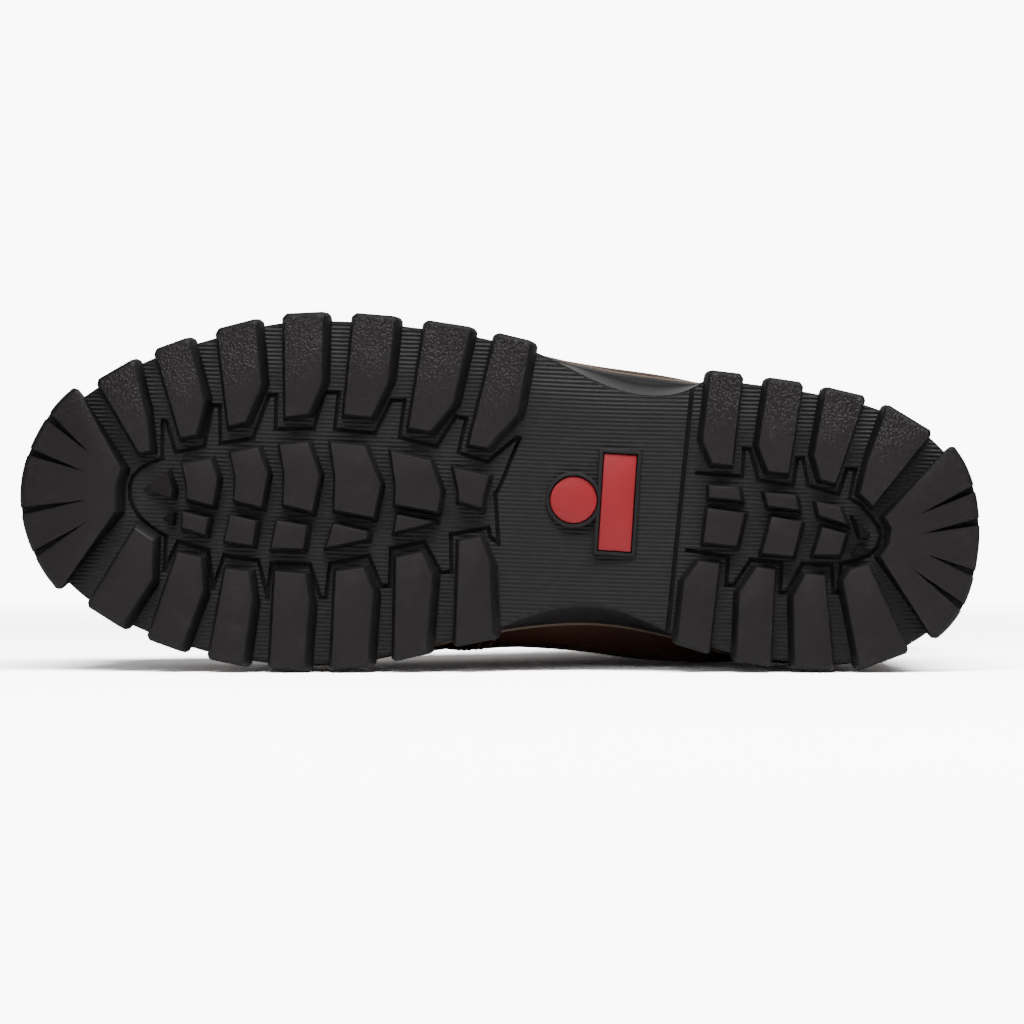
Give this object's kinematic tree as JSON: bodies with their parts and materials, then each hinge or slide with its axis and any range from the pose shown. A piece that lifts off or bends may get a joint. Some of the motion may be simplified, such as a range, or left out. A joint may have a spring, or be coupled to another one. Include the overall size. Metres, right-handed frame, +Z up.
{
  "type": "hiking boot",
  "caption": "Left hiking boot lying on its medial side, with a deep lugged rubber outsole, stitched welt, hollow leather upper, tongue, laces and pull loop.",
  "frame": {"origin": "middle of the boot's bounding box on the floor that it lies on", "axes": "+X from toe to heel, +Y from the tread up through the shaft, +Z up, towards the lateral side"},
  "size_m": [0.3048, 0.1964, 0.1148],
  "materials": {
    "rubber": "satin black, lugs pebbled towards the edge",
    "red_rubber": "matt red",
    "welt_leather": "waxed edge with stitching",
    "brown_leather": "full grain, lightly waxed",
    "dark_leather": "full grain, satin",
    "webbing": "woven",
    "lining": "matt knit",
    "lace_fabric": "round braided",
    "eyelet_metal": "antiqued"
  },
  "bodies": {
    "root": {"outsole": "rubber", "arch_bar": "red_rubber", "arch_disc": "red_rubber", "welt": "welt_leather", "upper": "brown_leather", "tongue": "brown_leather", "toe_cap": "dark_leather", "heel_counter": "dark_leather", "eyestay": "dark_leather", "collar_cuff": "dark_leather", "pull_loop": "webbing", "insole": "lining", "lace": "lace_fabric", "eyelet_lateral_1": "eyelet_metal", "eyelet_lateral_2": "eyelet_metal", "eyelet_lateral_3": "eyelet_metal", "eyelet_lateral_4": "eyelet_metal", "eyelet_lateral_5": "eyelet_metal", "eyelet_lateral_6": "eyelet_metal", "eyelet_medial_1": "eyelet_metal", "eyelet_medial_2": "eyelet_metal", "eyelet_medial_3": "eyelet_metal", "eyelet_medial_4": "eyelet_metal", "eyelet_medial_5": "eyelet_metal", "eyelet_medial_6": "eyelet_metal"}
  },
  "joints": []
}
